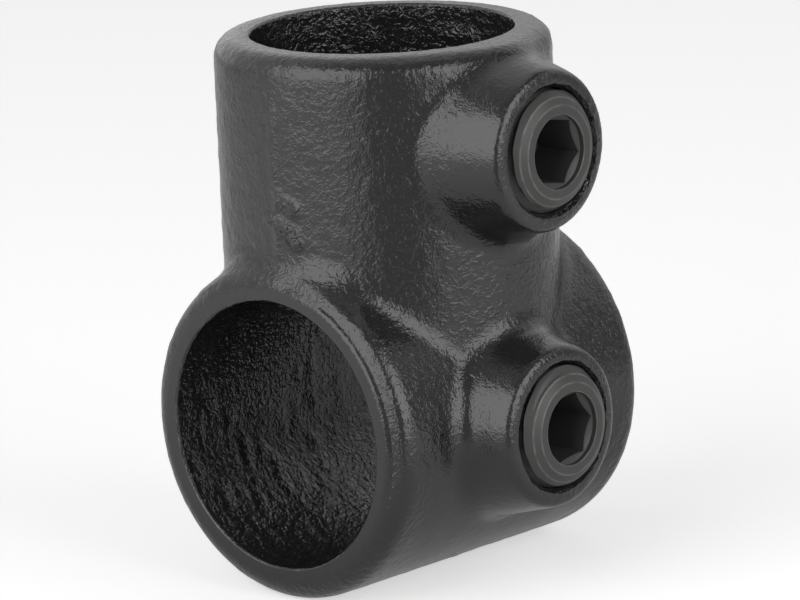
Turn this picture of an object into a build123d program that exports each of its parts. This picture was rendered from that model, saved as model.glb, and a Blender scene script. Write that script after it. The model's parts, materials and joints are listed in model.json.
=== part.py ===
from build123d import *
from math import radians, tan
import os

# Short tee for round tube: a malleable iron casting and the two set screws that grip the tubes.
# The rail tube passes through the sleeve, along X. The upright tube ends in the blind socket, which
# opens towards +Z. Both set screws stand in bosses on the front, and are driven home towards +Y.
# The origin is where the axis of the sleeve meets the axis of the socket. Sizes are in millimetres.

# The tubes, and how loosely each one sits in its bore, measured on the radius
tube_radius = 16.85
rail_play = 0.65
socket_play = 0.25

# Sleeve and socket. The sleeve's length follows the socket, which has to stand on it with a fillet all
# round, so the overhang is how far the sleeve reaches past the socket at each end.
wall = 4.5
socket_inset = 0.1
sleeve_overhang = 1.7
socket_floor = 4.5
socket_depth = 27.2
junction_radius = 4.0
sleeve_edge_radius = 2.3
rim_edge_radius = 2.7

# Bosses that carry the threads of the set screws
boss_height = 6.5
boss_face_radius = 10.3
boss_draft_angle = 15.5
boss_foot_radius = 3.0
boss_edge_radius = 1.0
countersink_width = 0.35
countersink_depth = 0.7
rim_to_screw = 13.2

# Set screws: a plain cylinder stands for the thread, between a cup point and a hexagon key hole
screw_radius = 8.0
screw_clearance = 0.05
screw_length = 12.0
screw_setback = 0.6
end_chamfer_width = 1.0
end_chamfer_height = 0.55
thread_depth = 1.0
thread_start_height = 1.2
cup_radius = 4.0
cup_angle = 118.0
key_across_flats = 8.0
key_depth = 6.0
key_mouth_width = 0.75
key_mouth_depth = 0.7
key_mouth_angle = 120.0
socket_key_turn = -10.0
rail_key_turn = 7.5

# Worked out from the sizes above
rail_bore_radius = tube_radius + rail_play
socket_bore_radius = tube_radius + socket_play
sleeve_radius = rail_bore_radius + wall
socket_radius = sleeve_radius - socket_inset
sleeve_length = 2 * (socket_radius + sleeve_overhang)
socket_floor_z = rail_bore_radius + socket_floor
rim_z = socket_floor_z + socket_depth
socket_screw_z = rim_z - rim_to_screw
screw_hole_radius = screw_radius + screw_clearance

# The socket starts this much too tall, so that the fillet of its boss runs out above the finished rim
rim_allowance = 4 * boss_foot_radius

FROM_BOTTOM = (Align.CENTER, Align.CENTER, Align.MIN)
FROM_TOP = (Align.CENTER, Align.CENTER, Align.MAX)


def along_x(solid):
    """Lay a solid that was made along Z along X."""
    return Rot(0, 90, 0) * solid


def facing_front(solid, height):
    """Turn a solid that was made along Z to point to the front, at a height."""
    return Pos(0, 0, height) * Rot(90, 0, 0) * solid


def turned(*points):
    """Solid of revolution about Z, from the (radius, height) corners of its half section."""
    half_section = make_face(Polyline([(r, 0, z) for r, z in points], close=True))
    return revolve(half_section, Axis.Z)


def joined_with_fillet(body, addition, radius):
    """Fuse two solids, with a fillet along the line where their surfaces meet."""
    both = body + addition
    return fillet(new_edges(body, addition, combined=both), radius)


def barrels():
    """Sleeve with rounded ends and the socket on top of it as one solid body, the socket still too tall."""
    sleeve = along_x(Cylinder(sleeve_radius, sleeve_length))
    sleeve = fillet(sleeve.edges().filter_by(GeomType.CIRCLE), sleeve_edge_radius)
    socket = Cylinder(socket_radius, rim_z + rim_allowance, align=FROM_BOTTOM)
    return joined_with_fillet(sleeve, socket, junction_radius)


def boss(face):
    """Tapered boss along Z from the axis of its barrel to its face, with a rounded edge."""
    foot_radius = boss_face_radius + face * tan(radians(boss_draft_angle))
    cone = Cone(foot_radius, boss_face_radius, face, align=FROM_BOTTOM)
    return fillet(cone.edges().sort_by(Axis.Z)[-1], boss_edge_radius)


def screw_hole(face):
    """What the threaded hole takes out of a boss along Z, with its countersink."""
    return turned(
        (0, 0),
        (screw_hole_radius, 0),
        (screw_hole_radius, face - countersink_depth),
        (screw_hole_radius + countersink_width, face),
        (0, face),
    )


def clamp_casting():
    """The one-piece casting: two barrels, two bosses, a through bore and a blind bore."""
    stations = ((0, sleeve_radius + boss_height), (socket_screw_z, socket_radius + boss_height))
    body = barrels()
    for height, face in stations:
        body = joined_with_fillet(body, facing_front(boss(face), height), boss_foot_radius)

    # Cut the socket to length and round its rim
    room = 4 * (rim_z + sleeve_length)
    body &= Pos(0, 0, rim_z) * Box(room, room, room, align=FROM_TOP)
    body = fillet(body.faces().sort_by(Axis.Z)[-1].edges(), rim_edge_radius)

    # Bores and screw holes
    body -= along_x(Cylinder(rail_bore_radius, 2 * sleeve_length))
    body -= Pos(0, 0, socket_floor_z) * Cylinder(socket_bore_radius, 2 * socket_depth, align=FROM_BOTTOM)
    for height, face in stations:
        body -= facing_front(screw_hole(face), height)
    return body


def set_screw(key_turn):
    """Set screw along Z with the middle of its outer face at the origin and its point below."""
    root_radius = screw_radius - thread_depth
    point_height = screw_radius - cup_radius
    cup_depth = cup_radius / tan(radians(cup_angle / 2))
    screw = turned(
        (0, 0),
        (root_radius - end_chamfer_width, 0),
        (root_radius, -end_chamfer_height),
        (screw_radius, -end_chamfer_height - thread_start_height),
        (screw_radius, point_height - screw_length),
        (cup_radius, -screw_length),
        (0, cup_depth - screw_length),
    )
    hexagon = Rot(0, 0, key_turn) * RegularPolygon(key_across_flats / 2, 6, major_radius=False)
    screw -= extrude(hexagon, -key_depth)
    mouth_radius = key_across_flats / 2 + key_mouth_width
    cone_depth = mouth_radius / tan(radians(key_mouth_angle / 2))
    mouth = ((0, 0), (mouth_radius, 0), (mouth_radius, -key_mouth_depth), (0, -key_mouth_depth - cone_depth))
    return screw - turned(*mouth)


def seated(screw, height, bore_radius):
    """Set screw in its hole, backed off until its point just clears the bore."""
    return facing_front(Pos(0, 0, bore_radius + screw_setback + screw_length) * screw, height)


parts = {
    "clamp_casting": clamp_casting(),
    "socket_set_screw": seated(set_screw(socket_key_turn), socket_screw_z, socket_bore_radius),
    "rail_set_screw": seated(set_screw(rail_key_turn), 0, rail_bore_radius),
}

os.makedirs("parts", exist_ok=True)
for name, solid in parts.items():
    export_step(solid, f"parts/{name}.step")
    box = solid.bounding_box()
    print(f"{name}: {solid.volume:.0f} mm3, {box.size.X:.2f} x {box.size.Y:.2f} x {box.size.Z:.2f} mm")
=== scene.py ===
# %% [markdown]
# # Short tee for round tube, dressed for the camera
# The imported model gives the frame: a casting and two set screws, each screw on a body of its own. The
# frame's solids have exact sizes but no skin. This notebook gives the casting its painted, lumpy skin, cuts
# real threads on the screws, and lights both in a plain pale studio. Everything in Blender is in metres;
# shapes are worked out in millimetres, because that is how such a part is drawn, and scaled at the end.

# %% Load the frame
import json
import math

import bpy
import numpy as np
from mathutils import Matrix, Vector

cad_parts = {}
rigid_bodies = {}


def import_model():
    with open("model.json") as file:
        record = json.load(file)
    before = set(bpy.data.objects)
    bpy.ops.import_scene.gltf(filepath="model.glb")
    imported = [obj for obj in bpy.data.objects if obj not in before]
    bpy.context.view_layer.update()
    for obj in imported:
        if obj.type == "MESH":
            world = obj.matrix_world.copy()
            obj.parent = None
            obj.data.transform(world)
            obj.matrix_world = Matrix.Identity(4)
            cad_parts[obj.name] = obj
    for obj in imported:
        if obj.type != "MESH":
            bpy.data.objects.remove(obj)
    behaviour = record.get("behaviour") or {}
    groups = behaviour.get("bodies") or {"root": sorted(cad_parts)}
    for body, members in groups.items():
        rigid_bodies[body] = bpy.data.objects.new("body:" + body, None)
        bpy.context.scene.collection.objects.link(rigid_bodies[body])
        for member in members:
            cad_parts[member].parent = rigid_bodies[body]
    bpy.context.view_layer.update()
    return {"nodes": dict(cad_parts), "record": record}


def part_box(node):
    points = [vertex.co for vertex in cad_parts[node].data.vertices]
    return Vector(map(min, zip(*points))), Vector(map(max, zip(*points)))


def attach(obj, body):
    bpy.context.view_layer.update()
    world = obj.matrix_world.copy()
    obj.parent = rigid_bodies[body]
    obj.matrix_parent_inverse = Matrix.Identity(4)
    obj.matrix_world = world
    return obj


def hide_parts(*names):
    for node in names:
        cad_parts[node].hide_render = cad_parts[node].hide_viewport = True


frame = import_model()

MM = 0.001
bores = {mount["name"]: mount["dims"] for mount in frame["record"]["mounts"]}

# %% [markdown]
# ## Where things are
# A dress that fits reads its places from the frame and doesn't guess them. The bores give the two axes and
# radii, and the boxes of the nodes give the length of the sleeve, the rim of the socket, the height of each
# boss and how far each screw stands out of it.

# %% Read the sizes that the skin follows, in millimetres
SCREWS = ("rail_set_screw", "socket_set_screw")
casting_low, casting_high = (np.array(corner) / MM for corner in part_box("clamp_casting"))
rail_bore_radius = bores["rail_bore"]["r_mm"]
socket_bore_radius = bores["socket_bore"]["r_mm"]
half_length = casting_high[0]
sleeve_radius = -casting_low[2]
rim_height = casting_high[2]
floor_height = rim_height - bores["socket_bore"]["length_mm"]
screw_height, screw_face, screw_length = {}, {}, {}
for name in SCREWS:
    low, high = (np.array(corner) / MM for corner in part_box(name))
    screw_height[name] = round((low[2] + high[2]) / 2, 3)
    screw_face[name], screw_length[name] = -low[1], high[1] - low[1]
    screw_radius = round((high[0] - low[0]) / 2, 2)
    print(name, "height", screw_height[name], "face", round(screw_face[name], 2), "radius", screw_radius)

# %% [markdown]
# ## Noise for a cast skin
# Molten iron takes the shape of every grain of the sand mould, and thick paint then fills the hollows. The
# skin needs a smooth random height at every point in space, so that it runs on over edges with no seam.
# Gradient noise does this: each corner of a cubic grid gets a random slope, and between the corners the
# slopes are blended. Working it out in numpy keeps it the same on every run.


# %% Gradient noise in whole arrays
def smoothstep(value, start, end):
    """0 before start, 1 after end, and the S-curve 3t^2 - 2t^3 between them."""
    t = np.clip((value - start) / (end - start), 0, 1)
    return t * t * (3 - 2 * t)


def corner_slopes(cells, seed):
    """A random unit slope for each grid corner: its three indices are stirred into one number, which gives
    a height from -1 to 1 and an angle around the axis."""
    x, y, z = (cells[:, k].astype(np.uint32) for k in range(3))
    h = x * np.uint32(73856093) ^ y * np.uint32(19349663) ^ z * np.uint32(83492791)
    h ^= np.uint32(seed * 2654435761 % 2**32)
    for shift, factor in ((16, 2246822519), (13, 3266489917), (16, 668265263)):
        h = (h ^ (h >> np.uint32(shift))) * np.uint32(factor)
    up = (h & np.uint32(0xFFFF)) / 32767.5 - 1
    angle = (h >> np.uint32(16)) / 65536 * 2 * np.pi
    across = np.sqrt(1 - up * up)
    return np.stack([across * np.cos(angle), across * np.sin(angle), up], axis=1)


def noise(p, grain, seed):
    """Gradient noise of about -1 to 1 at points p: the slopes at the 8 corners of each point's cell, times
    the way from the corner, blended with 6t^5 - 15t^4 + 10t^3. A grain is the size of one cell."""
    q = p / grain
    cells = np.floor(q).astype(np.int64)
    t = q - cells
    blend = t**3 * (t * (t * 6 - 15) + 10)
    total = np.zeros(len(p))
    for corner in range(8):
        step = np.array([corner & 1, corner >> 1 & 1, corner >> 2 & 1])
        way = t - step
        weight = np.prod(np.where(step, blend, 1 - blend), axis=1)
        total += weight * np.einsum("ij,ij->i", corner_slopes(cells + step, seed), way)
    return total * 1.6


# Every use of the noise has a seed of its own, so that no two patterns match
SEEDS = {"skin": 11, "seam": 31, "rail": 51, "socket": 57, "beads": 61, "ends": 71, "holes": 81,
         "patches": 322}
sample = noise(np.random.default_rng(1).uniform(-40, 40, (20000, 3)), 2.0, 5)
print("noise from", round(sample.min(), 2), "to", round(sample.max(), 2), "spread", round(sample.std(), 2))

# %% [markdown]
# ## Helpers for nets
# A surface here is a grid of points, one row after another. Joining each square of the grid to two triangles
# is the same for every shape, so it is written once.


# %% Nets from grids, and meshes from nets
def grid_faces(rows, columns, ring):
    """Triangles of a grid of points whose columns close on themselves. In a ring the last row joins the
    first. Otherwise a fan closes each end, and the fans' middles come after the grid's own points."""
    r, c = np.meshgrid(np.arange(rows if ring else rows - 1), np.arange(columns), indexing="ij")
    after = (c + 1) % columns
    above = (r + 1) % rows * columns
    a, b = (r * columns + c).ravel(), (r * columns + after).ravel()
    d, e = (above + c).ravel(), (above + after).ravel()
    faces = [(a, b, e), (a, e, d)]
    if not ring:
        start = np.arange(columns)
        after = (start + 1) % columns
        last = (rows - 1) * columns
        middle = np.full(columns, rows * columns)
        faces += [(after, start, middle), (last + start, last + after, middle + 1)]
    return np.vstack([np.stack(face, axis=1) for face in faces])


def turned_net(radius, height, columns, ring=False):
    """Closed net of a turned shape about Z. Its radius and height have one value for each row, or a grid of
    rows by angles. The rows go up the outside; each end is closed with a fan to its middle, unless the rows
    go round a ring."""
    rows = len(radius)
    shape = (rows, columns)
    radius, height = (np.broadcast_to(np.reshape(part, (rows, -1)), shape) for part in (radius, height))
    angle = np.arange(columns) / columns * 2 * np.pi
    points = np.stack([radius * np.cos(angle), radius * np.sin(angle), height], axis=-1).reshape(-1, 3)
    if not ring:
        points = np.vstack([points, [[0, 0, height[0].mean()], [0, 0, height[-1].mean()]]])
    return points, grid_faces(rows, columns, ring)


def new_mesh(name, points, triangles):
    """Blender mesh, in metres, from points in millimetres and triangles."""
    mesh = bpy.data.meshes.new(name)
    mesh.from_pydata((points * MM).tolist(), [], triangles.tolist())
    mesh.update()
    return mesh


def new_object(name, data):
    """Object at the origin with a mesh, a lamp or a camera."""
    made = bpy.data.objects.new(name, data)
    bpy.context.scene.collection.objects.link(made)
    return made


def net_of(mesh):
    """Points in millimetres and triangles of a mesh."""
    flat = np.empty(len(mesh.vertices) * 3)
    mesh.vertices.foreach_get("co", flat)
    mesh.calc_loop_triangles()
    corners = np.empty(len(mesh.loop_triangles) * 3, np.int64)
    mesh.loop_triangles.foreach_get("vertices", corners)
    return flat.reshape(-1, 3) / MM, corners.reshape(-1, 3)


def point_normals(points, triangles):
    """Unit normal at each point: the sum of the cross products of its triangles, made one long."""
    a, b, c = (points[triangles[:, k]] for k in range(3))
    face = np.cross(b - a, c - a)
    total = np.zeros_like(points)
    for k in range(3):
        for axis in range(3):
            total[:, axis] += np.bincount(triangles[:, k], face[:, axis], len(points))
    return total / np.maximum(np.linalg.norm(total, axis=1, keepdims=True), 1e-12)


def finished(made):
    """The mesh of an object with its modifiers worked out, in place of the mesh and the modifiers."""
    result = bpy.data.meshes.new_from_object(made.evaluated_get(bpy.context.evaluated_depsgraph_get()))
    made.modifiers.clear()
    made.data = result
    return made


# %% [markdown]
# ## The casting: an even net first
# The frame's net has long thin triangles on its round walls, which can't carry a rough skin. A voxel remesh
# gives an even net, but it chews sharp edges. The outside of this casting has none, because sand casting
# rounds every edge. So the bores and screw holes are plugged, the plugged lump is remeshed, roughened, and
# the holes are then cut again with sharp tools. The cuts give the crisp edges that machining would give.


# %% Plug the holes and remesh
ROUND_COLUMNS = 96


def plug(radius, start, end):
    """Plain turned plug about Z."""
    return turned_net([radius, radius], [start, end], ROUND_COLUMNS)


def lying_along_x(p):
    """Turn points from Z to X."""
    return np.stack([p[:, 2], p[:, 1], -p[:, 0]], axis=1)


def facing_front(p, height):
    """Turn points from Z to -Y, and lift them to a height."""
    return np.stack([p[:, 0], -p[:, 2], p[:, 1] + height], axis=1)


def merged(points, triangles):
    """The same net with points at one place made one, and the triangles that vanish left out."""
    points, same = np.unique(np.round(points, 4), axis=0, return_inverse=True)
    triangles = same.reshape(-1)[triangles]
    a, b, c = triangles.T
    return points, triangles[(a != b) & (b != c) & (c != a)]


def from_x_axis(p):
    """Distance of points from the sleeve's axis."""
    return np.hypot(p[:, 1], p[:, 2])


def from_z_axis(p):
    """Distance of points from the socket's axis."""
    return np.hypot(p[:, 0], p[:, 1])


def from_screw_axis(p, name):
    """Distance of points from the axis of a set screw."""
    return np.hypot(p[:, 0], p[:, 2] - screw_height[name])


# A plug overlaps the wall and stops a little short of the face. The voxel keeps the cut casting under
# 200,000 triangles. A boss's face is found on a ring round its hole, by the middle and half width.
OVERLAP = 0.6
PLUG_SHORT = 0.03
BOSS_PLUG_ROOT = 6
VOXEL = 0.51
FACE_RING = (1, 0.9)
cad_net = merged(*net_of(frame["nodes"]["clamp_casting"].data))
boss_face = {}
for name in SCREWS:
    around = np.abs(from_screw_axis(cad_net[0], name) - screw_radius - FACE_RING[0]) < FACE_RING[1]
    boss_face[name] = -cad_net[0][around, 1].min()
print("boss faces", {name: round(y, 2) for name, y in boss_face.items()})

nets = [cad_net]
p, t = plug(rail_bore_radius + OVERLAP, -half_length + PLUG_SHORT, half_length - PLUG_SHORT)
nets.append((lying_along_x(p), t))
nets.append(plug(socket_bore_radius + OVERLAP, floor_height - OVERLAP, rim_height - PLUG_SHORT))
for name in SCREWS:
    p, t = plug(screw_radius + OVERLAP, sleeve_radius - BOSS_PLUG_ROOT, boss_face[name] - PLUG_SHORT)
    nets.append((facing_front(p, screw_height[name]), t))
offsets = np.cumsum([0] + [len(p) for p, _ in nets])
lump = new_object("lump", new_mesh("lump", np.vstack([p for p, _ in nets]),
                                   np.vstack([t + o for (_, t), o in zip(nets, offsets)])))
remesh = lump.modifiers.new("even", "REMESH")
remesh.mode = "VOXEL"
remesh.voxel_size = VOXEL * MM
smooth = lump.modifiers.new("smooth", "SMOOTH")
smooth.factor = 0.5
smooth.iterations = 6
finished(lump)
skin, skin_triangles = net_of(lump.data)
print("even net:", len(skin), "points,", len(skin_triangles), "triangles")

# %% [markdown]
# ## The casting: the rounding of the sleeve's ends
# The sleeve's ends have a long rounding. On the side where the mould's joint was dressed, its profile has
# a lip next to the flat end, a broad face that leans back, a quick bend and a long run out into the wall;
# elsewhere it is one even bend. Both are drawn by their slope, because that is what a glossy edge shows. The
# frame has a plain quarter circle there, so the skin is pushed in from the one to the other, by an amount
# looked up along the arc. A ring cuts the same profile later, where the net is too coarse for the lip.

# %% Work out the rounding
# The slope of each profile in degrees at some places along the arc, and the rows that the ring has there
END_BEND_WAY = (0.0, 0.32, 0.38, 0.78, 0.86, 2.11, 2.71, 3.16, 3.96, 4.80)
DRESSED_LEAN = (57, 57, 40, 40, 68, 56, 31, 20, 8, 2)
EVEN_LEAN = (84, 78, 77, 71, 70, 46, 33, 22, 8, 2)
LEANS = (EVEN_LEAN, DRESSED_LEAN)
END_BEND_ROWS = np.concatenate([[-0.6, 0.16, 0.32, 0.38, 0.58, 0.78, 0.86], np.arange(1.0, 5.9, 0.22)])
CAD_ROUNDING = 2.3
# Angles from the top between which the ring comes to the end and then reaches it, and what it cuts away
RING_START = (18, 26)
RING_REACH = (28, 41)
RING_ALLOWANCE = 0.14


def end_profile(leans):
    """Way along the sleeve and radius of the rounding at its rows. Both are sums of small steps: the cosine
    of the lean along the sleeve and its sine outwards. The first is 0 in the plane of the flat end, and the
    second is the sleeve's radius where the bend has run out."""
    fine = np.linspace(END_BEND_ROWS[0], END_BEND_ROWS[-1], 2000)
    lean = np.radians(np.interp(fine, END_BEND_WAY, leans))
    along, out = (np.cumsum(part) * (fine[1] - fine[0]) for part in (np.cos(lean), np.sin(lean)))
    along -= np.interp(0, fine, along)
    out += sleeve_radius - np.interp(END_BEND_WAY[-1], fine, out)
    return np.interp(END_BEND_ROWS, fine, along), np.interp(END_BEND_ROWS, fine, out)


def end_depths(leans):
    """How far the rounding lies under the frame's quarter circle, for arc lengths from its start on the flat
    end. Each depth is found by going inwards from the circle until the radius is that of the profile."""
    arc = np.linspace(-0.4, 6.2, 80)
    bend = np.clip(arc / CAD_ROUNDING, 0, np.pi / 2)[:, None]
    past = np.maximum(arc - CAD_ROUNDING * np.pi / 2, 0)[:, None]
    before = np.minimum(arc, 0)[:, None]
    along, out = end_profile(leans)
    deep = np.linspace(-0.2, 1.4, 321)[None, :]
    way = CAD_ROUNDING * (1 - np.cos(bend)) + past + deep * np.cos(bend)
    radius = sleeve_radius - CAD_ROUNDING * (1 - np.sin(bend)) + before - deep * np.sin(bend)
    under = radius < np.interp(way, along, out)
    return arc, np.clip(deep[0, np.argmax(under, axis=1)], 0, None)


def ring_reaches(p, between=RING_REACH):
    """From 0 near the socket, whose fillets start at the sleeve's end, to 1 where the ring can cut: by the
    angle from the top, round the sleeve."""
    return smoothstep(np.degrees(np.arctan2(np.abs(p[:, 1]), p[:, 2])), *between)


def dressed_share(p):
    """1 on the dressed side of an end, which faces the front at -X and the back at +X, and 0 elsewhere."""
    toward = p[:, 1] * np.sign(p[:, 0])
    up = np.degrees(np.arctan2(p[:, 2], toward))
    return smoothstep(up, -24, -4) * (1 - smoothstep(up, 78, 90))


def end_lean(p):
    """How far to push a point in near the sleeve's ends. It leaves a little for the ring to cut away, and
    does nothing where the wall is left for a fillet."""
    way = np.abs(p[:, 0]) - half_length + CAD_ROUNDING
    out = from_x_axis(p) - sleeve_radius + CAD_ROUNDING
    angle = np.arctan2(out, way)
    on_circle = (way > 0) & (out > 0)
    arc = np.where(on_circle, CAD_ROUNDING * angle, np.where(way > 0, out, CAD_ROUNDING * np.pi / 2 - way))
    off = np.where(on_circle, np.hypot(way, out), np.where(way > 0, way, out)) - CAD_ROUNDING
    near = smoothstep(off, -0.9, -0.3) * (1 - smoothstep(off, 0.15, 1.4))
    even, dressed = (np.interp(arc, *end_depths(leans), left=0, right=0) for leans in LEANS)
    depth = even + (dressed - even) * dressed_share(p) - RING_ALLOWANCE * ring_reaches(p, RING_START)
    return np.maximum(depth, 0) * near


print("rounding goes in by", [end_depths(leans)[1].max().round(2) for leans in LEANS], "mm at most")

# %% [markdown]
# ## The casting: skin, parting line and crumbs
# The outside of the lump is roughened by moving each point along its normal. The sand mould was made in two
# halves, which meet in the plane of both axes, so a thin seam stands up there on the side of the socket,
# with a few crumbs of iron beside it where sand broke away. Round each screw hole thick paint has gathered
# in beads. These could be bumps in a material too, but their shadows and outlines show that they stand up.
# Only the grain of the sand itself is finer than the net, so it is left to the paint's bump.

# %% Shape the skin in millimetres
LUMP_HEIGHT, LUMP_SIZES = 0.09, (1.7, 0.95)
WAVES = ((0.03, 8.0), (0.02, 3.6))
SEAM_WEDGE, SEAM_RIDGE, SEAM_WIDTH = 0.16, 0.24, 0.42
HOLLOW_DEPTH, CRUMB_HEIGHT, BEAD_HEIGHT = 0.42, 0.45, 0.42
# How strong the grain of the sand is in the bores, on the crumbs and on the beads
BORE_GRAIN, CRUMB_GRAIN, BEAD_GRAIN = 1.6, 6.0, 3.0
CRUMBS = [
    (-21.8, -2.2, 30.4, 0.8),
    (-21.6, -3.4, 29.4, 0.9),
    (-21.9, 0.3, 27.9, 0.7),
    (-21.8, -1.8, 27.2, 0.8),
    (-21.7, -2.9, 26.3, 0.9),
    (-21.6, -3.3, 25.1, 0.8),
]


def crumbs(p):
    """Sum of round bumps exp(-(distance / size)^2) at the crumbs' places, which are x, y, z and size."""
    total = np.zeros(len(p))
    for x, y, z, size in CRUMBS:
        total += np.exp(-((p - [x, y, z]) ** 2).sum(axis=1) / size**2)
    return total


def seam(p):
    """The seam where the mould halves meet, on the socket's sides. Each half leans in by a degree or two,
    so they make a blunt wedge 1 - |way| / 6, and a thin ridge exp(-(way / width)^2) stands on it. Both stay
    on the socket's wall, above its fillet and below its rim."""
    way = np.abs(p[:, 1] + 0.7 + 0.4 * noise(p * [0, 0, 1] + 3, 6.0, SEEDS["seam"]))
    side = smoothstep(from_z_axis(p), 20.9, 21.5) * (1 - smoothstep(from_z_axis(p), 22.3, 23.2))
    reach = smoothstep(p[:, 2], 22.5, 24.0) * (1 - smoothstep(p[:, 2], 40.0, 46.0))
    ridge = SEAM_RIDGE * np.exp(-((way / SEAM_WIDTH) ** 2))
    return (SEAM_WEDGE * np.clip(1 - way / 6, 0, 1) + ridge) * side * reach


def hollow(p):
    """A shallow hollow beside the sleeve's dressed end at -X, where the fillet was filed: a round bump in
    the way along the sleeve and the angle from the top."""
    from_top = np.degrees(np.arctan2(-p[:, 1], p[:, 2]))
    bump = np.exp(-(((p[:, 0] + 21.6) / 0.85) ** 2) - ((from_top - 33) / 9) ** 2)
    return HOLLOW_DEPTH * bump * (from_x_axis(p) < 25)


def beads(p):
    """Beads of paint on the boss faces round the screw holes, mostly on the lower right where it ran."""
    total = np.zeros(len(p))
    for name in SCREWS:
        away = from_screw_axis(p, name)
        ring = np.exp(-(((away - screw_radius - 0.85) / 0.5) ** 2)) * smoothstep(-p[:, 1], 24.5, 26.0)
        lower_right = (p[:, 0] - (p[:, 2] - screw_height[name])) / np.maximum(away, 1e-6) / math.sqrt(2)
        pearls = np.clip(0.5 + 1.6 * noise(p, 0.85, SEEDS["beads"]), 0, 1)
        total += ring * smoothstep(lower_right, -0.2, 0.8) * pearls
    return total


def grain_places(p):
    """How strong the sand's grain is: 1 on most of the skin, less where the paint lies level on the end
    faces, the belly and the sides of the bosses, and more on the crumbs and beads and in the bores, which
    loose sand cores have left."""
    ends = smoothstep(np.abs(p[:, 0]), half_length - 0.5, half_length - 0.15)
    ends *= 1 - smoothstep(from_x_axis(p), sleeve_radius - 2.6, sleeve_radius - 2.2)
    belly = smoothstep(-p[:, 1], 8.0, 14.0) * (1 - smoothstep(p[:, 2], -4.0, 1.0))
    belly *= 1 - smoothstep(np.abs(p[:, 0]), 16, 20)
    level = np.maximum(0.9 * ends, 0.75 * belly)
    for name in SCREWS:
        away = from_screw_axis(p, name)
        flank = smoothstep(-p[:, 1], 21.5, 23.0) * (1 - smoothstep(away, 12.5, 15.0))
        flank *= smoothstep(away, 9.6, 10.4)
        level = np.maximum(level, 0.5 * flank)
    in_rail = 1 - smoothstep(from_x_axis(p), rail_bore_radius - 0.1, rail_bore_radius + 0.25)
    in_socket = 1 - smoothstep(from_z_axis(p), socket_bore_radius - 0.1, socket_bore_radius + 0.25)
    in_socket *= smoothstep(p[:, 2], floor_height - 0.5, floor_height)
    spots = CRUMB_GRAIN * np.clip(crumbs(p), 0, 1) + BEAD_GRAIN * np.clip(beads(p), 0, 1)
    return 1 - level + BORE_GRAIN * np.maximum(in_rail, in_socket) + spots


def cast_height(p, seed):
    """Height of the cast skin: long waves, each with a height and a size, and lumps that stand out of flat
    pools of paint. The lumps are noise bent by (n + sqrt(n^2 + s^2)) / 2, which is flat below zero and rises
    above it."""
    bent = noise(p, LUMP_SIZES[0], seed) + 0.55 * noise(p, LUMP_SIZES[1], seed + 1) - 0.05
    lumps = (bent + np.sqrt(bent**2 + 0.03)) / 2
    waves = sum(high * noise(p, size, seed + 2 + k) for k, (high, size) in enumerate(WAVES))
    return waves, LUMP_HEIGHT * lumps - 0.02


skin = skin - point_normals(skin, skin_triangles) * end_lean(skin)[:, None]
normals = point_normals(skin, skin_triangles)
waves, lumps = cast_height(skin, SEEDS["skin"])
height = waves + lumps * grain_places(skin) + seam(skin)
height += CRUMB_HEIGHT * crumbs(skin)
height += BEAD_HEIGHT * beads(skin)
height -= hollow(skin)
skin = np.clip(skin + normals * height[:, None], casting_low, casting_high)
lump.data.vertices.foreach_set("co", (skin * MM).ravel())
lump.data.update()
print("skin height from", round(height.min(), 3), "to", round(height.max(), 3), "mm")

# %% [markdown]
# ## The casting: cut the bores and the screw holes
# Each cutter is a turned shape on a grid of angles and steps along its axis. The bores are cast too, so
# their cutters are rough, and coarser than the outside, because loose sand cores make them. Each one flares a
# little at its mouth, which leaves the small broken edge that a clean-up tool makes.

# %% Make the cutters of the bores
BORE_STEP = 0.68
MOUTH_FLARE = 0.30
MOUTH_DEPTH = 0.40
MOUTH_PAST = 0.3
# The wall's waves and lumps next to those of the outside
WALL_WAVES, WALL_LUMPS = 2.0, 4.2
WALL_STRETCH = (0.42, 0.42, 0.95)


def steps_with_fine_ends(start, end, step, fine_at):
    """Positions from start to end, a step apart, with closer ones just inside each place in fine_at."""
    even = np.linspace(start, end, int(np.ceil((end - start) / step)) + 1)
    fine = np.linspace(-MOUTH_DEPTH, MOUTH_PAST, 8)
    fine = [place + fine * np.sign(place - (start + end) / 2) for place in fine_at]
    near = np.min([np.abs(even - place) for place in fine_at], axis=0) < MOUTH_DEPTH + step / 3
    return np.sort(np.concatenate([even[~near], *fine]))


def flare(way_in):
    """Extra radius at a mouth: flare * (1 - way / depth)^2 over the mouth's depth, and as steep outside."""
    t = 1 - way_in / MOUTH_DEPTH
    return np.where(t > 0, MOUTH_FLARE * t**2, 0)


def rough_wall(points, way_in, seed):
    """How far the sand core's skin stands into a bore. Lumps and waves are drawn out round the bore, calm
    down at the mouth, and come and go in patches."""
    waves, lumps = cast_height(points * WALL_STRETCH, seed)
    patches = 0.3 + 0.7 * smoothstep(noise(points, 15.0, seed + SEEDS["patches"]), -0.25, 0.1)
    calm = 0.25 + 0.75 * smoothstep(way_in, 0.2, 2.5)
    return (WALL_WAVES * waves + WALL_LUMPS * lumps) * calm * patches


def rail_cutter():
    """The sleeve's bore as a rough cylinder along X, open past both ends."""
    past = half_length + MOUTH_PAST
    along = steps_with_fine_ends(-past, past, BORE_STEP, (-half_length, half_length))
    columns = int(2 * np.pi * rail_bore_radius / BORE_STEP)
    points, triangles = turned_net(np.full(len(along), rail_bore_radius), along, columns)
    way_in = half_length - np.abs(points[:, 2])
    wall = rail_bore_radius + flare(way_in) - rough_wall(points + 40, way_in, SEEDS["rail"])
    scale = np.where(from_z_axis(points) > 1, wall / rail_bore_radius, 0)
    points[:, :2] *= scale[:, None]
    return lying_along_x(points), triangles


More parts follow.
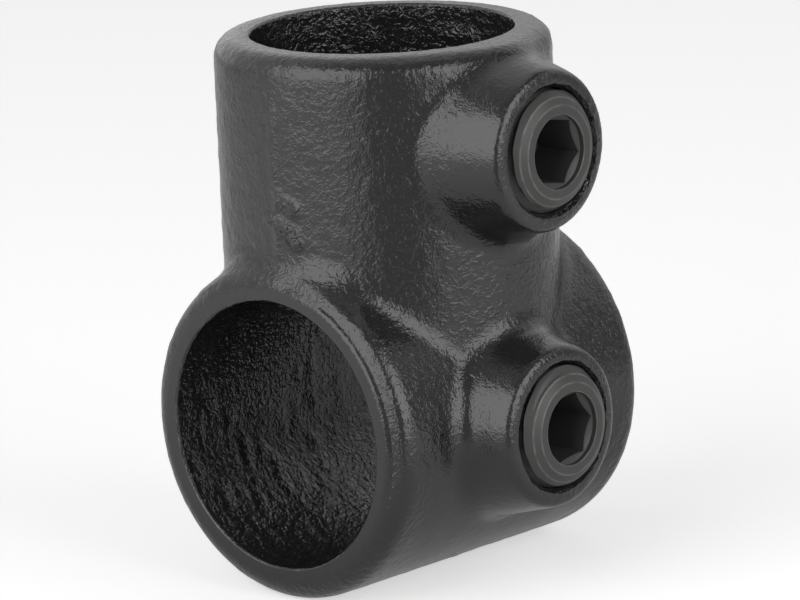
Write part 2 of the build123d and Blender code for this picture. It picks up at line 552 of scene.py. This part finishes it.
def socket_cutter():
    """The socket's blind bore: rows go out over the floor, round its corner and up the rough wall."""
    corner = 1.6
    flat_radius, wall_start = socket_bore_radius - corner, floor_height + corner
    over_floor = np.arange(1.2, flat_radius, 1.2)
    bend = np.linspace(0, np.pi / 2, 4)
    up = steps_with_fine_ends(wall_start, rim_height + MOUTH_PAST, BORE_STEP, (rim_height,))
    up = up[up > wall_start + 0.2]
    on_bend, up_wall = flat_radius + corner * np.sin(bend), np.full(len(up), socket_bore_radius)
    radius = np.concatenate([over_floor, on_bend, up_wall])
    height = np.concatenate([np.full(len(over_floor), floor_height), wall_start - corner * np.cos(bend), up])
    columns = int(2 * np.pi * socket_bore_radius / BORE_STEP)
    points, triangles = turned_net(radius, height, columns)
    way_in = rim_height - points[:, 2]
    inward = rough_wall(points + 90, way_in, SEEDS["socket"])
    on_wall = smoothstep(from_z_axis(points), flat_radius, socket_bore_radius)
    away = from_z_axis(points)
    factor = (away + (flare(way_in) - inward) * on_wall) / np.maximum(away, 1e-6)
    points[:, :2] *= factor[:, None]
    points[:, 2] += np.where(points[:, 2] < wall_start, 1 - on_wall, 0) * np.maximum(inward, 0)
    return points, triangles


cutters = {"rail": rail_cutter(), "socket": socket_cutter()}
print("bore cutters", {name: len(t) for name, (_, t) in cutters.items()}, "triangles")

# %% [markdown]
# The holes for the screws are bored and tapped: a cone at the mouth, then shallow turns of thread. A real
# thread is a groove, so it is cut as one, and seen where the screw is backed out. Paint has run over the
# mouth's edge, which is therefore a little ragged.

# %% Make the cutters of the screw holes
THREAD_PITCH = 2.0
CREST_HALF, FLANK_RUN = 0.125, 0.62
HOLE_THREAD_DEPTH = 0.30
HOLE_CLEARANCE = 0.05
COUNTERSINK = 0.55
COUNTERSINK_DEPTH = 0.7
RAGGED_SHARE = 0.03


def thread_groove(angle, along):
    """0 on the crest of a right-hand thread and 1 at its root: a symmetric V with flat crest and root."""
    turns = along / THREAD_PITCH - angle / (2 * np.pi)
    off_crest = np.abs(turns - np.round(turns)) * THREAD_PITCH
    return np.clip((off_crest - CREST_HALF) / FLANK_RUN, 0, 1)


def hole_cutter(name):
    """A screw hole from above its boss to inside the bore, with shallow turns of thread in the wall."""
    face = boss_face[name]
    bore = {"rail_set_screw": rail_bore_radius, "socket_set_screw": socket_bore_radius}[name]
    up = np.concatenate([np.arange(bore - 3.0, face - 2.2, 0.25), face - np.linspace(2.2, -0.6, 15)])
    height = up[:, None]
    angle = np.arange(ROUND_COLUMNS) / ROUND_COLUMNS * 2 * np.pi
    cone = COUNTERSINK * np.clip((height - face + COUNTERSINK_DEPTH) / COUNTERSINK_DEPTH, 0, 2)
    runout = smoothstep(height, bore - 3.0, bore - 2.0) * (1 - smoothstep(height, face - 2.2, face - 1.2))
    thread = HOLE_THREAD_DEPTH * (1 - thread_groove(angle, height)) * runout
    radius = screw_radius + HOLE_CLEARANCE + cone + thread
    points, triangles = turned_net(radius, height, ROUND_COLUMNS)
    at_mouth = smoothstep(points[:, 2], face - 1.2, face - 0.3)
    ragged = 1 + RAGGED_SHARE * np.clip(noise(points, 0.9, SEEDS["holes"]), 0, 1) * at_mouth
    points[:, :2] *= ragged[:, None]
    return facing_front(points, screw_height[name]), triangles


for name in SCREWS:
    cutters[name] = hole_cutter(name)
    print("cutter", name, len(cutters[name][1]), "triangles")

# %% [markdown]
# Both ends of the sleeve are cut to their profile by a ring from outside, which the net alone is too coarse
# to show. Then all the cutters are taken from the lump at once.

# %% Make the ring for the ends and cut
RING_STEP = 0.5
RING_WALL = 4
RING_OVERHANG = 1.5
RING_LUMPS = 0.7
FUNNEL_START, FUNNEL_SLOPE = 0.55, 1.6
MOVE_OFF = 4.5


def end_cutter():
    """Ring round the sleeve's end at -X. Towards the socket, whose fillets start there, it first opens out
    like a funnel, so that only its lip still cuts, and then moves off the end."""
    columns = int(2 * np.pi * sleeve_radius / RING_STEP)
    wall = sleeve_radius + RING_WALL
    both = []
    for leans in LEANS:
        along, out = end_profile(leans)
        height = -half_length + np.concatenate([along[::-1], [-RING_OVERHANG, along[-1]]])
        net, triangles = turned_net(np.concatenate([out[::-1], [wall, wall]]), height, columns, ring=True)
        both.append(lying_along_x(net))
    points = both[0] + (both[1] - both[0]) * dressed_share(both[0])[:, None]
    _, lumps = cast_height(points, SEEDS["ends"])
    points -= point_normals(points, triangles) * (RING_LUMPS * lumps)[:, None]
    way_in = np.maximum(points[:, 0] + half_length - FUNNEL_START, 0)
    wider = 1 + FUNNEL_SLOPE * way_in * (1 - ring_reaches(points)) / sleeve_radius
    points[:, 1:] *= wider[:, None]
    points[:, 0] -= MOVE_OFF * (1 - ring_reaches(points, RING_START))
    return points, triangles


ring, ring_triangles = end_cutter()
cutters["near_end"] = (ring, ring_triangles)
cutters["far_end"] = (ring * [-1, -1, 1], ring_triangles)
for name, (p, t) in cutters.items():
    cutter = new_object("cutter_" + name, new_mesh("cutter", p, t))
    cut = lump.modifiers.new(name, "BOOLEAN")
    cut.operation = "DIFFERENCE"
    cut.solver = "MANIFOLD"
    cut.object = cutter
finished(lump)
for made in [o for o in bpy.data.objects if o.name.startswith("cutter_")]:
    bpy.data.objects.remove(made)
skin, skin_triangles = net_of(lump.data)
print("cut casting:", len(skin), "points,", len(skin_triangles), "triangles")

# %% [markdown]
# ## The casting: one object, with masks for its paint
# The cut mesh becomes the visible casting. A crisp cut needs a crisp shade, so edges where the surface turns
# by more than about a third of a right angle are marked sharp. Two masks go with the points: how strong the
# sand's grain is there, and how near a point is to the cut edge of a bore, along which a highlight is
# painted. As attributes of the points they stay with the mesh, and any material can read them by name.

# %% Finish the casting's mesh
CASTING_SHARP, SCREW_SHARP = math.radians(32), math.radians(35)
# Place and width of the painted highlight round the cut edge of each bore
MOUTH_EDGE = 0.15
MOUTH_HIGHLIGHT = 0.28


def mouth_distance(p):
    """Distance to the nearest mouth of a bore, a circle at either end of the sleeve or at the rim."""
    rail = np.hypot(np.abs(p[:, 0]) - half_length, from_x_axis(p) - rail_bore_radius - MOUTH_EDGE)
    socket = np.hypot(p[:, 2] - rim_height, from_z_axis(p) - socket_bore_radius - MOUTH_EDGE)
    return np.minimum(rail, socket)


def add_mask(mesh, name, values):
    """A number for each point of a mesh, which its material can read by name."""
    mesh.attributes.new(name, "FLOAT", "POINT").data.foreach_set("value", np.asarray(values, np.float32))


casting = lump
casting.name = "clamp_casting_skin"
casting.data.name = "clamp_casting_skin"
casting.data.shade_smooth()
casting.data.set_sharp_from_angle(angle=CASTING_SHARP)
add_mask(casting.data, "grain", grain_places(skin))
# The second mask is where a highlight is painted along the bores' cut edges
add_mask(casting.data, "worn", np.exp(-((mouth_distance(skin) / MOUTH_HIGHLIGHT) ** 2)))
print("casting", len(casting.data.polygons), "faces")

# %% [markdown]
# ## The set screws
# A set screw is a threaded rod with a hexagon hole in its outer end and a cup point at its inner end. The
# whole outside is one grid: its rows run from the middle of the cup up the thread, over the end face and
# down the key hole, and its columns are angles. The thread is a groove that climbs one pitch with each
# turn; near both ends it fades out where a cone cuts it off. The hexagon is a radius that changes with the
# angle, apothem / cos(angle from the middle of a flat), and columns are placed so that its corners stay
# sharp. One grid needs no cutting, so the thread stays clean, which a boolean would leave ragged.

# %% Surface of a set screw
# The chamfer of the end face is given by its outer radius and its depth
KEY_APOTHEM = 4.0
KEY_DEPTH = 7.6
KEY_MOUTH_RADIUS = 4.75
KEY_MOUTH_DEPTH = 0.7
FACE_RADIUS = 6.0
END_CHAMFER = (7.0, 0.55)
THREAD_START = 1.75
THREAD_DEPTH = 1.08
CUP_RADIUS = 4.0
CUP_ANGLE = 118
POINT_HEIGHT = 4
ROW_STEP = 0.125
EDGE_BEND = 0.12
SCREW_COLUMNS = 144
KEY_TURN = {"rail_set_screw": 7.5, "socket_set_screw": -10.0}


def rounded_corner(before, corner, after, size, steps=4):
    """Points of a bend that starts and ends a size away from a corner: a quadratic curve through them."""
    before, corner, after = (np.array(v, float) for v in (before, corner, after))
    start = corner + (before - corner) / np.linalg.norm(before - corner) * size
    end = corner + (after - corner) / np.linalg.norm(after - corner) * size
    t = np.linspace(0, 1, steps)[:, None]
    return (1 - t) ** 2 * start + 2 * t * (1 - t) * corner + t**2 * end


def set_screw(name):
    """Net of a set screw, with a mask of painted highlight that is 1 on the rows of its edges."""
    length = screw_length[name]
    columns = np.arange(SCREW_COLUMNS) / SCREW_COLUMNS * 2 * np.pi
    radius, height, edge = [], [], []

    def add(r, z, worn=0.0):
        """One row: radius and height may each be a number or a value for every column."""
        radius.append(np.broadcast_to(r, SCREW_COLUMNS))
        height.append(np.broadcast_to(z, SCREW_COLUMNS))
        edge.append(np.full(SCREW_COLUMNS, worn))

    cup_depth = CUP_RADIUS / math.tan(math.radians(CUP_ANGLE / 2))
    for t in np.linspace(0.25, 0.95, 4):
        add(CUP_RADIUS * t, -length + cup_depth * (1 - t))
    cup_floor, cup_rim = (0, -length + cup_depth), (CUP_RADIUS, -length)
    for r, z in rounded_corner(cup_floor, cup_rim, (screw_radius, -length + POINT_HEIGHT), 0.15):
        add(r, z, 0.6)
    chamfer_radius, chamfer_depth = END_CHAMFER
    rows = np.arange(-length + 0.25, -chamfer_depth - 0.1, ROW_STEP)
    point = CUP_RADIUS + (rows + length)
    start = np.interp(-rows, [chamfer_depth, THREAD_START], [chamfer_radius, screw_radius])
    fade_in = smoothstep(-rows, chamfer_depth, chamfer_depth + 0.3)
    for z, most, part in zip(rows, np.minimum(point, start), fade_in):
        groove = THREAD_DEPTH * part * thread_groove(columns, z + screw_face[name])
        add(np.minimum(most, screw_radius - groove), z)
    profile = [(screw_radius, -THREAD_START), (chamfer_radius, -chamfer_depth), (FACE_RADIUS, 0),
               (KEY_MOUTH_RADIUS, 0), (KEY_MOUTH_RADIUS, -KEY_MOUTH_DEPTH)]
    for before, corner, after in zip(profile, profile[1:], profile[2:]):
        bend = rounded_corner(before, corner, after, EDGE_BEND, 5)
        way_in, way_out = (np.subtract(end, corner) / math.dist(end, corner) for end in (before, after))
        add(*(corner + way_in * 0.2))
        for r, z in bend:
            add(r, z, 1.0)
        add(*(corner + way_out * 0.2))
    add(KEY_MOUTH_RADIUS, -KEY_MOUTH_DEPTH)
    from_flat = (columns + math.pi / 6) % (math.pi / 3) - math.pi / 6
    flats = KEY_APOTHEM / np.cos(from_flat)
    cone_drop = (KEY_MOUTH_RADIUS - flats) / math.tan(math.radians(60))
    add(flats + 0.06, -KEY_MOUTH_DEPTH - cone_drop + 0.03)
    add(flats, -KEY_MOUTH_DEPTH - cone_drop - 0.05, 0.5)
    for z in np.linspace(-2.0, -KEY_DEPTH, 4):
        add(flats, z)
    for t in (0.7, 0.35):
        add(flats * t, -KEY_DEPTH - 0.8 * (1 - t))
    points, triangles = turned_net(radius, height, SCREW_COLUMNS)
    angle = math.pi / 6 + math.radians(KEY_TURN[name])
    c, s = math.cos(angle), math.sin(angle)
    points[:, :2] = points[:, :2] @ np.array([[c, s], [-s, c]])
    points[:, 2] += screw_face[name]
    return facing_front(points, screw_height[name]), triangles, np.append(np.ravel(edge), [0, 0])


screws = {}
for name in SCREWS:
    points, triangles, edge = set_screw(name)
    mesh = new_mesh(name + "_threaded", points, triangles)
    mesh.shade_smooth()
    mesh.set_sharp_from_angle(angle=SCREW_SHARP)
    # The mask of the painted highlight on the screw's edges
    add_mask(mesh, "worn", edge)
    screws[name] = new_object(name + "_threaded", mesh)
    reach = [round(value, 2) for value in (points[:, 1].min(), points[:, 1].max())]
    print(name, len(triangles), "triangles, y from", reach[0], "to", reach[1])

# %% [markdown]
# ## Shader groups
# Both finishes use the same two effects, so each is a node group with named inputs. One is the fine grain of
# a cast or blasted skin, for the height of a bump. The other breaks an edge mask up into painted highlights.
# Both put out plain numbers, and the Principled shader stays in each material.

# %% Build the shader groups
def node_group(name, output, **inputs):
    """New shader group that takes a Vector and some numbers, given with their defaults, and puts out one
    number. Gives the group, what comes in by name, and the socket of what goes out."""
    group = bpy.data.node_groups.new(name, "ShaderNodeTree")
    group.interface.new_socket("Vector", in_out="INPUT", socket_type="NodeSocketVector")
    for label, default in inputs.items():
        socket = group.interface.new_socket(label, in_out="INPUT", socket_type="NodeSocketFloat")
        socket.default_value = default
    group.interface.new_socket(output, in_out="OUTPUT", socket_type="NodeSocketFloat")
    given, put = group.nodes.new("NodeGroupInput"), group.nodes.new("NodeGroupOutput")
    return group, given.outputs, put.inputs[output]


def feed(tree, slot, value):
    """Put a socket or a plain value into an input."""
    if isinstance(value, bpy.types.NodeSocket):
        tree.links.new(value, slot)
    else:
        slot.default_value = value


def math_node(tree, operation, *operands):
    """A Math node; each operand is a socket or a number."""
    made = tree.nodes.new("ShaderNodeMath")
    made.operation = operation
    for slot, value in zip(made.inputs, operands):
        feed(tree, slot, value)
    return made.outputs[0]


def vector_node(tree, operation, *operands):
    """A Vector Math node that gives a number; each operand is a socket or three numbers."""
    made = tree.nodes.new("ShaderNodeVectorMath")
    made.operation = operation
    for slot, value in zip(made.inputs, operands):
        feed(tree, slot, value)
    return made.outputs["Value"]


def range_node(tree, value, before, after, kind="LINEAR"):
    """A Map Range node that takes a value from one range to another and stays inside it."""
    made = tree.nodes.new("ShaderNodeMapRange")
    made.interpolation_type = kind
    for label, number in zip(("From Min", "From Max", "To Min", "To Max"), (*before, *after)):
        made.inputs[label].default_value = number
    tree.links.new(value, made.inputs["Value"])
    return made.outputs["Result"]


def noise_node(tree, vector, scale, detail, roughness, distortion=0.0):
    """A 3-D Noise Texture; scale is a socket or a number of cells per metre."""
    made = tree.nodes.new("ShaderNodeTexNoise")
    made.noise_dimensions = "3D"
    tree.links.new(vector, made.inputs["Vector"])
    values = {"Scale": scale, "Detail": detail, "Roughness": roughness, "Distortion": distortion}
    for label, value in values.items():
        feed(tree, made.inputs[label], value)
    return made.outputs["Fac"]


def build_grain_group():
    """Cast Grain: height of lumps that stand out of flat pools, times how strong they are, and a finer grain
    over everything, from 0 to about 1."""
    defaults = {"Cells": 900.0, "Pools": 0.45, "Fine": 0.25, "Strength": 1.0}
    group, given, height = node_group("Cast Grain", "Height", **defaults)
    coarse = noise_node(group, given["Vector"], given["Cells"], 2.0, 0.55, distortion=0.5)
    over = math_node(group, "SUBTRACT", coarse, given["Pools"])
    lumps = math_node(group, "SMOOTH_MAX", over, 0.0, 0.12)
    lumps = math_node(group, "MULTIPLY", lumps, given["Strength"])
    fine_cells = math_node(group, "MULTIPLY", given["Cells"], 3.1)
    fine = noise_node(group, given["Vector"], fine_cells, 1.0, 0.5)
    finer = math_node(group, "MULTIPLY", fine, given["Fine"])
    group.links.new(math_node(group, "ADD", lumps, finer), height)
    return group


def build_highlight_group():
    """Painted Edge Highlight: an edge mask broken up by noise into patches of painted highlight."""
    group, given, mask = node_group("Rubbed Edge", "Mask", Edge=0.0, Cells=700.0, Amount=0.5)
    patches = noise_node(group, given["Vector"], given["Cells"], 3.0, 0.6)
    raised = math_node(group, "ADD", patches, given["Amount"])
    left = math_node(group, "MULTIPLY", raised, given["Edge"])
    group.links.new(range_node(group, left, (0.55, 0.95), (0, 1), "SMOOTHSTEP"), mask)
    return group


grain_group = build_grain_group()
highlight_group = build_highlight_group()
print("groups", [g.name for g in (grain_group, highlight_group)])

# %% [markdown]
# ## The paint
# The casting is dipped in glossy black paint. It has one plain layer with a clear, mirror-like surface, so
# nearly all that one sees on it is the room in its bumps. The large lumps are in the mesh, and the grain
# between them is a bump, as strong as the grain mask says: weak where the paint has flowed level.


# %% Build the paint
def mix_colour(tree, mask, first, second):
    """A Mix node between two colours by a mask."""
    made = tree.nodes.new("ShaderNodeMix")
    made.data_type = "RGBA"
    tree.links.new(mask, made.inputs["Factor"])
    made.inputs["A"].default_value = (*first, 1)
    made.inputs["B"].default_value = (*second, 1)
    return made.outputs["Result"]


def use_group(tree, group, vector, **values):
    """A group node with its inputs set from sockets or numbers."""
    made = tree.nodes.new("ShaderNodeGroup")
    made.node_tree = group
    tree.links.new(vector, made.inputs["Vector"])
    for label, value in values.items():
        feed(tree, made.inputs[label], value)
    return made


def object_place(tree):
    """The socket of the Object coordinates."""
    return tree.nodes.new("ShaderNodeTexCoord").outputs["Object"]


def new_material(name):
    """Material with nothing but its Principled shader; gives the material, its tree and the shader."""
    material = bpy.data.materials.new(name)
    material.use_nodes = True
    return material, material.node_tree, material.node_tree.nodes["Principled BSDF"]


def mask_of(tree, name):
    """The socket that reads one of the masks of a mesh."""
    made = tree.nodes.new("ShaderNodeAttribute")
    made.attribute_name = name
    return made.outputs["Fac"]


def add_bump(tree, shader, height, distance):
    """A Bump node into the shader's normal; the distance is how tall a height of 1 is, in metres."""
    made = tree.nodes.new("ShaderNodeBump")
    made.inputs["Distance"].default_value = distance
    tree.links.new(height, made.inputs["Height"])
    tree.links.new(made.outputs["Normal"], shader.inputs["Normal"])


# The lighter grey is a painted highlight along the cut edges of the bores
BLACK_PAINT, EDGE_HIGHLIGHT_GREY = (0.013, 0.013, 0.013), (0.09, 0.09, 0.088)
paint, tree, shader = new_material("gloss_black_paint")
place, sand = object_place(tree), mask_of(tree, "grain")
shader.inputs["IOR"].default_value = 1.5
grain = use_group(tree, grain_group, place, Cells=1300.0, Pools=0.42, Fine=0.22, Strength=sand)
add_bump(tree, shader, grain.outputs["Height"], 0.17 * MM)
# Patches of painted highlight along the bores' cut edges, in the lighter grey
highlight_patches = use_group(tree, highlight_group, place, Edge=mask_of(tree, "worn"), Cells=600.0, Amount=0.25)
colour = mix_colour(tree, highlight_patches.outputs["Mask"], BLACK_PAINT, EDGE_HIGHLIGHT_GREY)
tree.links.new(colour, shader.inputs["Base Color"])
smudge = noise_node(tree, place, 180.0, 3.0, 0.6)
tree.links.new(math_node(tree, "MULTIPLY_ADD", smudge, 0.10, 0.10), shader.inputs["Roughness"])
casting.data.materials.clear()
casting.data.materials.append(paint)
print("paint has", len(tree.nodes), "nodes")

# %% [markdown]
# ## The black oxide
# The screws are hardened steel, blackened in a hot bath. The layer is a few thousandths of a millimetre
# thick, so the metal's own sheen shows through. A lighter grey is painted on the edges as their highlight.

# %% Build the black oxide
# The lighter steel grey is a painted highlight along the screws' edges
BLACK_OXIDE, EDGE_HIGHLIGHT_STEEL = (0.056, 0.055, 0.054), (0.12, 0.117, 0.114)
oxide, tree, shader = new_material("black_oxide_steel")
place = object_place(tree)
shader.inputs["Metallic"].default_value = 0.2
shader.inputs["Specular IOR Level"].default_value = 0.3
# Patches of painted highlight along the screw's edges
highlight_patches = use_group(tree, highlight_group, place, Edge=mask_of(tree, "worn"), Cells=500.0, Amount=0.32)
colour = mix_colour(tree, highlight_patches.outputs["Mask"], BLACK_OXIDE, EDGE_HIGHLIGHT_STEEL)
tree.links.new(colour, shader.inputs["Base Color"])
bloom = noise_node(tree, place, 420.0, 4.0, 0.6)
tree.links.new(math_node(tree, "MULTIPLY_ADD", bloom, 0.16, 0.36), shader.inputs["Roughness"])
grain = use_group(tree, grain_group, place, Cells=3200.0, Pools=0.4, Fine=0.3)
add_bump(tree, shader, grain.outputs["Height"], 0.02 * MM)
for made in screws.values():
    made.data.materials.append(oxide)
print("black oxide has", len(tree.nodes), "nodes")

# %% [markdown]
# ## Dress the frame
# Each dressed piece rides on the body of the node that it stands for, so that it moves with the joint.

# %% Ride on the bodies
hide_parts("clamp_casting")
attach(casting, "casting")
for name, body in (("rail_set_screw", "rail_screw"), ("socket_set_screw", "socket_screw")):
    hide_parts(name)
    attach(screws[name], body)
print("dressed", [casting.name, *(made.name for made in screws.values())])

# %% [markdown]
# ## The studio
# Glossy black shows only what surrounds it. A plain studio for it has a pale floor and a soft box on each
# side of the camera. Dark flags stand where the room is dim: between the boxes where the camera is, above
# them, and on the far right. The flags are seen in reflections only, so they take no light away. The floor
# is lifted to white for the camera, and still takes the shadow. For reflections it is lifted less near the
# part and on the far right, where the studio's floor gets little light.

# %% Lay the floor
STAND_Z = -sleeve_radius * MM
FLOOR_HALF = 3
FLOOR_GAP, APRON_LIFT = 0.02 * MM, 0.3 * MM
FLOOR_COLOUR, FLOOR_CAMERA_GLOW = 0.72, 0.56


def aimed(azimuth, elevation, distance):
    """Matrix of something at a distance in a direction, facing the part. Azimuth 0 is -Y and 90 is +X."""
    a, e = math.radians(azimuth), math.radians(elevation)
    back = Vector((math.sin(a) * math.cos(e), -math.cos(a) * math.cos(e), math.sin(e)))
    right = Vector((math.cos(a), math.sin(a), 0))
    up = back.cross(right)
    place = back * distance
    return Matrix([(right[k], up[k], back[k], place[k]) for k in range(3)] + [(0, 0, 0, 1)])


def card(name, points, faces, colour, camera_glow, reflected_glow):
    """Card through points. Its glow is what the camera and reflections see, and lights nothing. The glow in
    reflections is a number, or a function that builds it from nodes."""
    mesh = bpy.data.meshes.new(name)
    mesh.from_pydata([tuple(point) for point in points], [], faces)
    material, tree, shader = new_material(name)
    shader.inputs["Base Color"].default_value = (colour, colour, colour, 1)
    shader.inputs["Roughness"].default_value = 0.9
    shader.inputs["Specular IOR Level"].default_value = 0.0
    shader.inputs["Emission Color"].default_value = (1, 1, 1, 1)
    rays = tree.nodes.new("ShaderNodeLightPath")
    reflected = math_node(tree, "MAXIMUM", rays.outputs["Is Glossy Ray"], rays.outputs["Is Transmission Ray"])
    if callable(reflected_glow):
        reflected_glow = reflected_glow(tree)
    reflected = math_node(tree, "MULTIPLY", reflected, reflected_glow)
    direct = math_node(tree, "MULTIPLY", rays.outputs["Is Camera Ray"], camera_glow)
    tree.links.new(math_node(tree, "ADD", direct, reflected), shader.inputs["Emission Strength"])
    mesh.materials.append(material)
    made = new_object(name, mesh)
    return made


def floor_glow(tree):
    """How bright the floor is in reflections: it rises with the distance from the part, and sinks towards
    the far right."""
    place = object_place(tree)
    lift = range_node(tree, vector_node(tree, "LENGTH", place), (0.04, 0.14), (0.26, 0.68))
    to_the_right = vector_node(tree, "DOT_PRODUCT", place, (0.87, 0.5, 0.0))
    return math_node(tree, "MULTIPLY", lift, range_node(tree, to_the_right, (-0.02, 0.12), (1.0, 0.3)))


signs = ((-1, -1), (1, -1), (1, 1), (-1, 1))
corners = [(FLOOR_HALF * x, FLOOR_HALF * y, STAND_Z - FLOOR_GAP) for x, y in signs]
floor = card("pale_floor", corners, [(0, 1, 2, 3)], FLOOR_COLOUR, FLOOR_CAMERA_GLOW, floor_glow)
print("floor at", round(corners[0][2] / MM, 2), "mm,", floor.dimensions.x, "m wide")

# %% [markdown]
# A flag is given by what it covers as seen from the part: a range of azimuth and of elevation, and how
# bright it looks. It is a curved card, bent round the part. The gap's flag goes on as an apron on the floor,
# from a hand's width before the part.

# %% Set up the flags
FLAGS = {
    "gap_flag": ((-64, -19), (-4, 46), 0.50),
    "upper_flag": ((-115, 40), (46, 66), 0.34),
    "top_flag": ((-180, 20), (66, 88), 0.60),
    "upper_right_flag": ((40, 84), (44, 66), 0.22),
    "right_flag": ((30, 62), (-8, 34), 0.45),
    "far_right_flag": ((62, 135), (-8, 13), 0.50),
}
FLAG_DISTANCE = 1.3
FLAG_STEP = 8
APRON_REACH = (0.11, FLAG_DISTANCE)


def reflected_card(name, points, faces, glow):
    """Card that is seen in reflections only."""
    made = card(name, points, faces, 0.0, 0.0, glow)
    made.visible_camera = made.visible_diffuse = made.visible_shadow = False
    return made


def flag(name, azimuths, elevations, glow):
    """Card on a ball round the part that covers a range of directions, as a grid of steps of some degrees."""
    around, up = (np.linspace(start, end, 2 + int((end - start) / FLAG_STEP))
                  for start, end in (azimuths, elevations))
    points = [aimed(azimuth, elevation, FLAG_DISTANCE).translation for elevation in up for azimuth in around]
    wide = len(around)
    faces = [(k, k + 1, k + wide + 1, k + wide) for k in range(len(points) - wide) if (k + 1) % wide]
    return reflected_card(name, points, faces, glow)


for name, (azimuths, elevations, glow) in FLAGS.items():
    print(name, len(flag(name, azimuths, elevations, glow).data.polygons), "faces")
azimuths, _, glow = FLAGS["gap_flag"]
near, far = ([aimed(azimuth, 0, reach).translation for azimuth in azimuths] for reach in APRON_REACH)
apron = reflected_card("gap_apron", [near[0], far[0], far[1], near[1]], [(0, 1, 2, 3)], glow)
apron.data.transform(Matrix.Translation((0, 0, STAND_Z + APRON_LIFT)))

# %% [markdown]
# The light comes from two soft boxes, and a little from all round. A soft box is given by its azimuth and
# elevation, its width and height in metres per metre of distance, and its radiance, which is how bright it
# looks. The room is white for the camera and in reflections, and gives a quarter of that as light.

# %% Light the studio
SOFT_BOXES = {
    "left_soft_box": (-95, 24, 1.10, 1.02, 2.38),
    "right_soft_box": (5, 18, 0.86, 0.84, 2.55),
}
BOX_DISTANCE = 0.9
ROOM_LIGHT = 0.25


def soft_box(name, azimuth, elevation, width, height, radiance):
    """Area lamp of a given radiance: its power is radiance * pi * area."""
    lamp = bpy.data.lights.new(name, "AREA")
    lamp.shape = "RECTANGLE"
    lamp.size, lamp.size_y = width * BOX_DISTANCE, height * BOX_DISTANCE
    lamp.energy = radiance * math.pi * lamp.size * lamp.size_y
    made = new_object(name, lamp)
    made.matrix_world = aimed(azimuth, elevation, BOX_DISTANCE)
    made.visible_camera = False
    print(name, round(lamp.energy, 2), "W")


for name, values in SOFT_BOXES.items():
    soft_box(name, *values)

world = bpy.data.worlds.new("pale_room")
bpy.context.scene.world = world
world.use_nodes = True
tree = world.node_tree
background = tree.nodes["Background"]
background.inputs["Color"].default_value = (1, 1, 1, 1)
rays = tree.nodes.new("ShaderNodeLightPath")
seen = math_node(tree, "MAXIMUM", rays.outputs["Is Camera Ray"], rays.outputs["Is Glossy Ray"])
seen = math_node(tree, "MAXIMUM", seen, rays.outputs["Is Transmission Ray"])
tree.links.new(range_node(tree, seen, (0, 1), (ROOM_LIGHT, 1)), background.inputs["Strength"])

# %% [markdown]
# ## The camera
# A long lens from a little above, turned to see the end of the sleeve and both screws. The place is given as
# direction and distance, with a small tilt and a slide to put the part in the frame.

# %% Camera and colour
CAMERA_AZIMUTH = -47.097
CAMERA_ELEVATION = 13.182
CAMERA_TILT = -2.552
CAMERA_DISTANCE = 0.8165
CAMERA_SLIDE = (0.000202, 0.012727)
CAMERA_LENS, CAMERA_SENSOR = 280.93, 36

camera = new_object("camera", bpy.data.cameras.new("camera"))
camera.data.sensor_width = CAMERA_SENSOR
camera.data.lens = CAMERA_LENS
placed = aimed(CAMERA_AZIMUTH, CAMERA_ELEVATION, CAMERA_DISTANCE)
placed = placed @ Matrix.Rotation(math.radians(CAMERA_TILT), 4, "Z") @ Matrix.Translation((*CAMERA_SLIDE, 0))
camera.matrix_world = placed
bpy.context.scene.camera = camera
bpy.context.scene.view_settings.view_transform = "Standard"
print("camera at", [round(value, 3) for value in camera.location])
